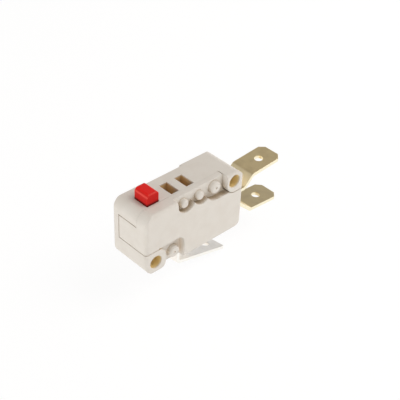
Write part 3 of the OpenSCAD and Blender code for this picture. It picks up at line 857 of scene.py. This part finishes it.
@dataclass
class Terminals:
    """The three blade terminals. Slivers at their tips are merged before the edges are rounded."""

    edge_mm: float = 0.05
    sliver_mm: float = 0.035
    # each blade's bend tone is a painted reflection and its edge tone fresh-cut metal with a painted highlight
    upper: RolledMetal = RolledMetal(
        "upper_brass", face=(0.83, 0.69, 0.41), stain=(0.73, 0.6, 0.35),
        edge=(0.97, 0.9, 0.68), painted_shine=(1.0, 0.87, 0.58),
    )
    lower: RolledMetal = RolledMetal(
        "lower_brass", face=(0.68, 0.575, 0.355), stain=(0.6, 0.5, 0.31),
        edge=(0.97, 0.9, 0.68), painted_shine=(0.78, 0.65, 0.4),
    )
    # the tin's bright tone is painted light over the plate up to X 9.5 mm, fading out by 14.5 mm
    tin: RolledMetal = RolledMetal(
        "blade_tin", face=(0.78, 0.76, 0.73), stain=(0.72, 0.7, 0.67),
        edge=(0.97, 0.95, 0.9), painted_shine=(1.0, 0.95, 0.88), rough=0.4, painted_light_x=(9.5, 14.5),
    )

    def build(self) -> None:
        """Makes and dresses the blades."""
        edges = SoftEdges(self.edge_mm, merge_mm=self.sliver_mm)
        blades = (
            ("normally_closed_terminal", "upper_blade", Slot.BRASS, self.upper),
            ("normally_open_terminal", "lower_blade", Slot.BRASS, self.lower),
            ("common_terminal", "common_blade", Slot.PLATED, self.tin),
        )
        for node, name, slot, finish in blades:
            dress(edges.copy(node, name), Body.CASE, slot, finish.make(), node)


@dataclass
class SnapMechanism:
    """The lever, the spring, the contact leaf and the rivets. Sizes are in millimetres."""

    edge_mm: float = 0.04
    leaf_edge_mm: float = 0.02
    lever_reach: float = 5.6
    wire_r: float = 0.16
    coil_r: float = 0.75
    turns: int = 11
    steps: int = 14
    hook_shift: float = 0.25
    lever_hook_r: float = 0.86
    lever_hook_deg: Span = (-40.0, 290.0)
    leaf_hook_r: float = 0.76
    leaf_hook_deg: Span = (150.0, -180.0)
    finer: int = 3
    sides: int = 10
    steep: float = 0.8
    cap_deg: float = 60.0
    bronze: RolledMetal = RolledMetal(
        "leaf_bronze", face=(0.7, 0.44, 0.25), stain=(0.58, 0.36, 0.2),
        edge=(0.85, 0.6, 0.38), painted_shine=(0.75, 0.49, 0.29), rough=0.3,
    )
    steel: RolledMetal = RolledMetal(
        "lever_steel", face=(0.52, 0.52, 0.53), stain=(0.42, 0.42, 0.43),
        edge=(0.68, 0.68, 0.69), painted_shine=(0.6, 0.6, 0.61), rough=0.36,
    )
    wire_bronze: DrawnMetal = DrawnMetal("spring_wire", bright=(0.72, 0.48, 0.28), dull=(0.58, 0.38, 0.22))
    silver: DrawnMetal = DrawnMetal(
        "rivet_silver", bright=(0.86, 0.85, 0.83), dull=(0.7, 0.69, 0.67), rough=0.22
    )

    def spring_ends(self) -> tuple[np.ndarray, np.ndarray]:
        """Where the spring hooks on.

        The lever's pin is lever_reach from the lever's pivot, raised by half of the angle that the lever
        rocks through. The leaf's bar is the hinge that the spring swings on.

        Returns:
            The pin's place and the bar's, in millimetres.
        """
        joints = {joint["name"]: joint for joint in frame["joints"]}
        lever = joints["lever_rock"]
        raised = math.radians(lever["range_deg"][1] / 2)
        arm = self.lever_reach * np.array([math.cos(raised), 0.0, math.sin(raised)])
        return np.array(lever["pos_m"]) / MM + arm, np.array(joints["spring_swing"]["pos_m"]) / MM

    def hook(self, middle: float, radius: float, span_deg: Span) -> np.ndarray:
        """An arc in the spring's upright plane.

        Args:
            middle: its middle, along the spring.
            radius: its radius.
            span_deg: the angles at which it begins and ends.

        Returns:
            Points along the arc: middle plus radius times the cosine, zero, and radius times the sine.
        """
        angle = np.radians(np.linspace(*span_deg, self.steps + 1))
        return np.stack([middle + radius * np.cos(angle), 0 * angle, radius * np.sin(angle)], -1)

    def spring_line(self) -> np.ndarray:
        """The spring's middle line: a hook on the lever's pin, the turns and a hook on the leaf's bar.

        The turns are a helix about the line from pin to bar, and a smooth curve joins them to the hooks.

        Returns:
            Points along the wire, in millimetres.
        """
        start, end = self.spring_ends()
        length = np.linalg.norm(end - start)
        count = self.turns * self.steps + 1
        spin = np.linspace(0.0, 2 * np.pi * self.turns, count)
        room = 2 * self.wire_r
        first = self.hook_shift + self.lever_hook_r + room
        run = np.linspace(first, length - self.leaf_hook_r - room, count)
        local = np.concatenate([
            self.hook(self.hook_shift, self.lever_hook_r, self.lever_hook_deg),
            np.stack([run, self.coil_r * np.sin(spin), self.coil_r * np.cos(spin)], -1),
            self.hook(length, self.leaf_hook_r, self.leaf_hook_deg),
        ])
        ahead = (end - start) / length
        side = np.array([0.0, 1.0, 0.0])
        return self.smooth(start + local @ np.stack([ahead, side, np.cross(ahead, side)]))

    def smooth(self, points: np.ndarray) -> np.ndarray:
        """A Catmull-Rom curve through the points.

        Between two points it is a cubic, and its slope at a point is half the step between the neighbours.

        Args:
            points: the points, in order.

        Returns:
            The same points with finer minus one new ones between each two.
        """
        padded = np.concatenate([2 * points[:1] - points[1:2], points, 2 * points[-1:] - points[-2:-1]])
        p0, p1, p2, p3 = padded[:-3, None], padded[1:-2, None], padded[2:-1, None], padded[3:, None]
        t = (np.arange(self.finer) / self.finer)[None, :, None]
        square = 2 * p0 - 5 * p1 + 4 * p2 - p3
        cube = 3 * (p1 - p2) + p3 - p0
        curve = 0.5 * (2 * p1 + (p2 - p0) * t + square * t**2 + cube * t**3)
        return np.concatenate([curve.reshape(-1, 3), points[-1:]])

    def wire(self, name: str, line: np.ndarray) -> bpy.types.Object:
        """A round wire along a line.

        The section is a circle across the line's tangent. The circle's start angle takes up the twist
        between neighbouring sections, summed along the line, so that the wire's sides run straight.

        Args:
            name: the piece's name.
            line: points along the wire, in millimetres.

        Returns:
            The piece.
        """
        ahead = np.gradient(line, axis=0)
        ahead /= np.linalg.norm(ahead, axis=1, keepdims=True)
        seed = np.where(np.abs(ahead[:, 1:2]) < self.steep, [[0.0, 1.0, 0.0]], [[1.0, 0.0, 0.0]])
        u = seed - ahead * np.sum(seed * ahead, axis=1, keepdims=True)
        u /= np.linalg.norm(u, axis=1, keepdims=True)
        v = np.cross(ahead, u)
        carried = u[:-1] - ahead[1:] * np.sum(u[:-1] * ahead[1:], axis=1, keepdims=True)
        twist = np.arctan2(np.sum(carried * v[1:], axis=1), np.sum(carried * u[1:], axis=1))
        turn = np.concatenate([[0.0], np.cumsum(twist)])
        angle = turn[:, None] + np.linspace(0.0, 2 * np.pi, self.sides, endpoint=False)[None]
        circle = np.cos(angle)[..., None] * u[:, None] + np.sin(angle)[..., None] * v[:, None]
        rings = line[:, None] + self.wire_r * circle
        index = np.arange(rings.shape[0] * self.sides).reshape(-1, self.sides)
        after = np.roll(index, -1, axis=1)
        quads = np.stack([index[:-1], after[:-1], after[1:], index[1:]], -1).reshape(-1, 4)
        caps = [index[0, ::-1].tolist(), index[-1].tolist()]
        mesh = bpy.data.meshes.new(name)
        mesh.from_pydata((rings.reshape(-1, 3) * MM).tolist(), [], quads.tolist() + caps)
        mesh.shade_smooth()
        mesh.set_sharp_from_angle(angle=math.radians(self.cap_deg))
        return add_object(name, mesh)

    def build(self) -> None:
        """Makes and dresses the mechanism."""
        edges = SoftEdges(self.edge_mm)
        lever = edges.copy("actuating_lever", "rocking_lever")
        dress(lever, Body.LEVER, Slot.LEVER, self.steel.make(), "actuating_lever")
        spring = self.wire("coil_spring", self.spring_line())
        dress(spring, Body.SPRING, Slot.SPRING, self.wire_bronze.make(), "tension_spring")
        leaf = SoftEdges(self.leaf_edge_mm).copy("contact_blade", "contact_leaf")
        dress(leaf, Body.BLADE, Slot.SPRING, self.bronze.make(), "contact_blade")
        rivets = (
            ("moving_contact", "moving_rivet", Body.BLADE),
            ("normally_closed_contact", "upper_rivet", Body.CASE),
            ("normally_open_contact", "lower_rivet", Body.CASE),
        )
        for node, name, body in rivets:
            dress(edges.copy(node, name), body, Slot.CONTACT, self.silver.make(), node)


@dataclass(frozen=True)
class Lamp:
    """A square soft lamp. Its offset from what it lights and its side are in metres."""

    name: str
    offset: Point
    side: float
    watts: float
    colour: Colour

    def hang(self, target: Vector) -> None:
        """Puts the lamp into the scene.

        Args:
            target: the point that it faces, in metres.
        """
        data = bpy.data.lights.new(self.name, "AREA")
        data.shape = "SQUARE"
        data.size = self.side
        data.energy = self.watts
        data.color = self.colour
        offset = Vector(self.offset)
        turn = offset.to_track_quat("Z", "Y").to_matrix().to_4x4()
        add_object(self.name, data).matrix_world = Matrix.Translation(target + offset) @ turn


@dataclass
class Studio:
    """Camera at the photograph's angle, a pale floor and soft lamps, in metres and degrees."""

    azimuth: float = -43.182
    elevation: float = 37.628
    roll: float = 1.603
    distance: float = 0.195367
    target: Point = (0.0111, 0.0, 0.00515)
    lens_mm: float = 82.12
    sensor_mm: float = 36.0
    shift: Span = (0.0509, 0.0247)
    clip: Span = (0.005, 20.0)
    floor_z: float = -0.0108
    floor_half: float = 3.0
    floor_paint: Colour = (0.86, 0.86, 0.86)
    floor_rough: float = 0.9
    floor_glow: float = 0.28
    floor_white: float = 1.0
    floor_shown: float = 0.85
    overhead: Colour = (0.43, 0.41, 0.39)
    dimming: Span = (0.12, 0.5)
    lamps: tuple[Lamp, ...] = (
        Lamp("top_softbox", (0.22, -0.2, 0.38), side=0.3, watts=0.9, colour=(1.0, 0.96, 0.93)),
        Lamp("right_softbox", (0.5, 0.0, 0.04), side=0.4, watts=1.0, colour=(1.0, 0.98, 0.95)),
        Lamp("left_softbox", (-0.5, 0.05, 0.08), side=0.4, watts=1.0, colour=(1.0, 0.98, 0.95)),
    )

    def camera(self) -> None:
        """Sets the camera: it looks at the target along the azimuth and elevation, turned by the roll."""
        a, e, r = (math.radians(v) for v in (self.azimuth, self.elevation, self.roll))
        back = Vector((math.sin(a) * math.cos(e), -math.cos(a) * math.cos(e), math.sin(e)))
        right = Vector((0.0, 0.0, 1.0)).cross(back).normalized()
        up = back.cross(right)
        across = right * math.cos(r) + up * math.sin(r)
        upright = up * math.cos(r) - right * math.sin(r)
        data = bpy.data.cameras.new("camera")
        data.lens = self.lens_mm
        data.sensor_width = self.sensor_mm
        data.shift_x, data.shift_y = self.shift
        data.clip_start, data.clip_end = self.clip
        camera = add_object("camera", data)
        turn = Matrix((across, upright, back)).transposed().to_4x4()
        camera.matrix_world = Matrix.Translation(Vector(self.target) + back * self.distance) @ turn
        bpy.context.scene.camera = camera

    def floor(self) -> None:
        """A wide flat floor, white to the camera and in a gloss, that throws light up and keeps a shadow."""
        h, z = self.floor_half, self.floor_z
        mesh = bpy.data.meshes.new("floor")
        mesh.from_pydata([(-h, -h, z), (h, -h, z), (h, h, z), (-h, h, z)], [], [(0, 1, 2, 3)])
        floor = add_object("floor", mesh)
        g = Surface("floor_white")
        white = (*WHITE, 1.0)
        g.finish((*self.floor_paint, 1.0), self.floor_rough, None, {
            "Specular IOR Level": 0.0, "Emission Color": white, "Emission Strength": self.floor_glow,
        })
        bright = g.node("ShaderNodeEmission", {}, {"Color": white, "Strength": self.floor_white})
        share = g.seen() * self.floor_shown
        both = g.node("ShaderNodeMixShader", {}, {0: share, 1: g.surface.outputs[0], 2: bright.outputs[0]})
        g.fill(g.output, {"Surface": both.outputs[0]})
        mesh.materials.append(g.material)

    def world(self) -> None:
        """Light from all round: white at the horizon and dimmer overhead."""
        world = bpy.data.worlds.new("studio")
        bpy.context.scene.world = world
        world.use_nodes = True
        g = Graph(world.node_tree)
        _, _, up = g.split(g.node("ShaderNodeTexCoord").outputs["Generated"])
        colour = g.mix(up.rise(*self.dimming), WHITE, self.overhead)
        shade = g.node("ShaderNodeBackground", {}, {"Color": colour, "Strength": 1.0})
        g.node("ShaderNodeOutputWorld", {}, {"Surface": shade.outputs[0]})

    def build(self) -> None:
        """Sets up everything around the switch."""
        self.camera()
        self.floor()
        self.world()
        for lamp in self.lamps:
            lamp.hang(Vector(self.target))
        bpy.context.scene.view_settings.view_transform = "Standard"


def main() -> None:
    """Builds the studio and the switch."""
    logging.basicConfig(level=logging.INFO, format="%(message)s")
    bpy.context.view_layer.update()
    Studio().build()
    for assembly in (Case(), Button(), Terminals(), SnapMechanism()):
        assembly.build()


if __name__ == "__main__":
    main()
